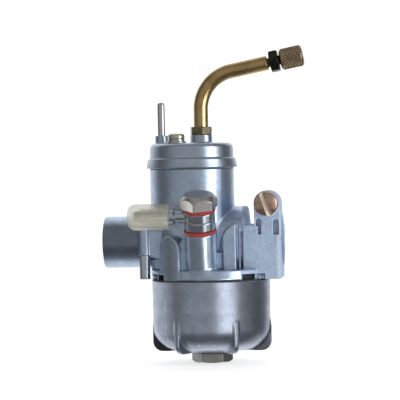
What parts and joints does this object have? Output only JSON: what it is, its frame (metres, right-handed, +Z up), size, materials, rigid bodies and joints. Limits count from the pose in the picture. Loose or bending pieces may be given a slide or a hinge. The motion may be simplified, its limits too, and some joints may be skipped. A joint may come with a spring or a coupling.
{
  "type": "carburetor",
  "caption": "Slide-type carburetor with a round float bowl, clamp-on manifold socket, banjo fuel inlet and a bent cable tube with adjuster.",
  "frame": {"origin": "on the main bore's axis, at the mouth of the manifold socket", "axes": "+X along the bore towards the engine, -Y towards the fuel inlet side, +Z up along the slide chamber"},
  "size_m": [0.0811, 0.0638, 0.1257],
  "materials": {
    "zinc_casting": "bright die-cast zinc alloy, satin",
    "satin_cast": "satin turned casting",
    "steel": "bright steel",
    "dark_steel": "blackened steel",
    "yellow_zinc": "yellow zinc plated steel",
    "copper_zinc": "aged yellow zinc plated steel, brown",
    "brass": "satin brass",
    "dark_brass": "aged brown brass",
    "fibre_red": "red vulcanised fibre",
    "cap_plastic": "translucent soft plastic, yellowish",
    "gasket_dark": "dark gasket paper",
    "spring_steel": "spring steel",
    "float_plastic": "moulded float plastic"
  },
  "bodies": {
    "body": {"banjo_bolt": "steel", "banjo_fitting": "steel", "banjo_washers": "fibre_red", "bowl_bolt": "dark_steel", "bowl_bolt_washer": "fibre_red", "bowl_gasket": "gasket_dark", "cable_elbow": "brass", "carb_body": "zinc_casting", "choke_spring": "spring_steel", "clamp_screw": "copper_zinc", "elbow_lock_nut": "dark_brass", "float_bowl": "satin_cast", "float_hinge_pin": "steel", "idle_jet": "brass", "idle_screw_spring": "spring_steel", "main_jet": "brass", "needle_jet": "brass", "needle_valve_seat": "brass", "passage_plug": "steel", "throttle_spring": "spring_steel", "top_cap": "satin_cast", "top_cap_gasket": "gasket_dark", "top_cap_screws": "yellow_zinc", "top_cap_spring_washers": "yellow_zinc", "top_cap_washers": "yellow_zinc", "vent_tube": "satin_cast"},
    "throttle": {"throttle_slide": "satin_cast", "jet_needle": "brass", "needle_clip": "steel", "needle_retainer": "steel"},
    "choke": {"choke_slide": "brass", "choke_pin": "steel"},
    "float": {"float": "float_plastic"},
    "float_needle": {"float_needle": "brass"},
    "adjuster_lock_nut": {"adjuster_lock_nut": "dark_steel"},
    "cable_adjuster": {"cable_adjuster": "dark_brass"},
    "idle_screw_washer": {"idle_screw_washer": "steel"},
    "idle_screw": {"idle_screw": "brass"},
    "fuel_inlet_cap": {"fuel_inlet_cap": "cap_plastic"}
  },
  "joints": [
    {"name": "throttle_lift", "type": "slide", "parent": "body", "child": "throttle", "axis": [0, 0, 1], "range_m": [0, 0.016], "stiffness_N_per_m": 60, "springref_m": -0.02, "deforming": ["throttle_spring"]},
    {"name": "choke_press", "type": "slide", "parent": "body", "child": "choke", "axis": [0, 0, 1], "range_m": [-0.0125, 0], "stiffness_N_per_m": 60, "springref_m": 0.01, "deforming": ["choke_spring"]},
    {"name": "float_swing", "type": "hinge", "parent": "body", "child": "float", "pos_m": [-0.0306, -0.0182, -0.021], "axis": [1, 0, 0], "range_deg": [0, 8]},
    {"name": "float_needle_lift", "type": "slide", "parent": "body", "child": "float_needle", "axis": [0, -0.2756, 0.9613], "range_m": [0, 0.0005]},
    {"name": "adjuster_travel", "type": "slide", "parent": "body", "child": "adjuster_lock_nut", "axis": [0.9806, 0, 0.1959], "range_m": [0, 0.004]},
    {"name": "adjuster_turn", "type": "hinge", "parent": "adjuster_lock_nut", "child": "cable_adjuster", "pos_m": [-0.00491, 0, 0.07044], "axis": [0.9806, 0, 0.1959], "range_deg": [0, 1800.5]},
    {"name": "idle_screw_travel", "type": "slide", "parent": "body", "child": "idle_screw_washer", "axis": [0, -1, 0], "range_m": [0, 0.001], "deforming": ["idle_screw_spring"]},
    {"name": "idle_screw_turn", "type": "hinge", "parent": "idle_screw_washer", "child": "idle_screw", "pos_m": [-0.032, 0.02, -0.003], "axis": [0, -1, 0], "range_deg": [0, 720.5]},
    {"name": "inlet_cap_pull", "type": "slide", "parent": "body", "child": "fuel_inlet_cap", "axis": [-1, 0, 0], "range_m": [0, 0.02]}
  ],
  "couplings": [
    {"joint": "float_needle_lift", "follows": "float_swing", "m_per_rad": 0.00305},
    {"joint": "adjuster_turn", "follows": "adjuster_travel", "rad_per_m": 7854},
    {"joint": "idle_screw_turn", "follows": "idle_screw_travel", "rad_per_m": 12566}
  ]
}
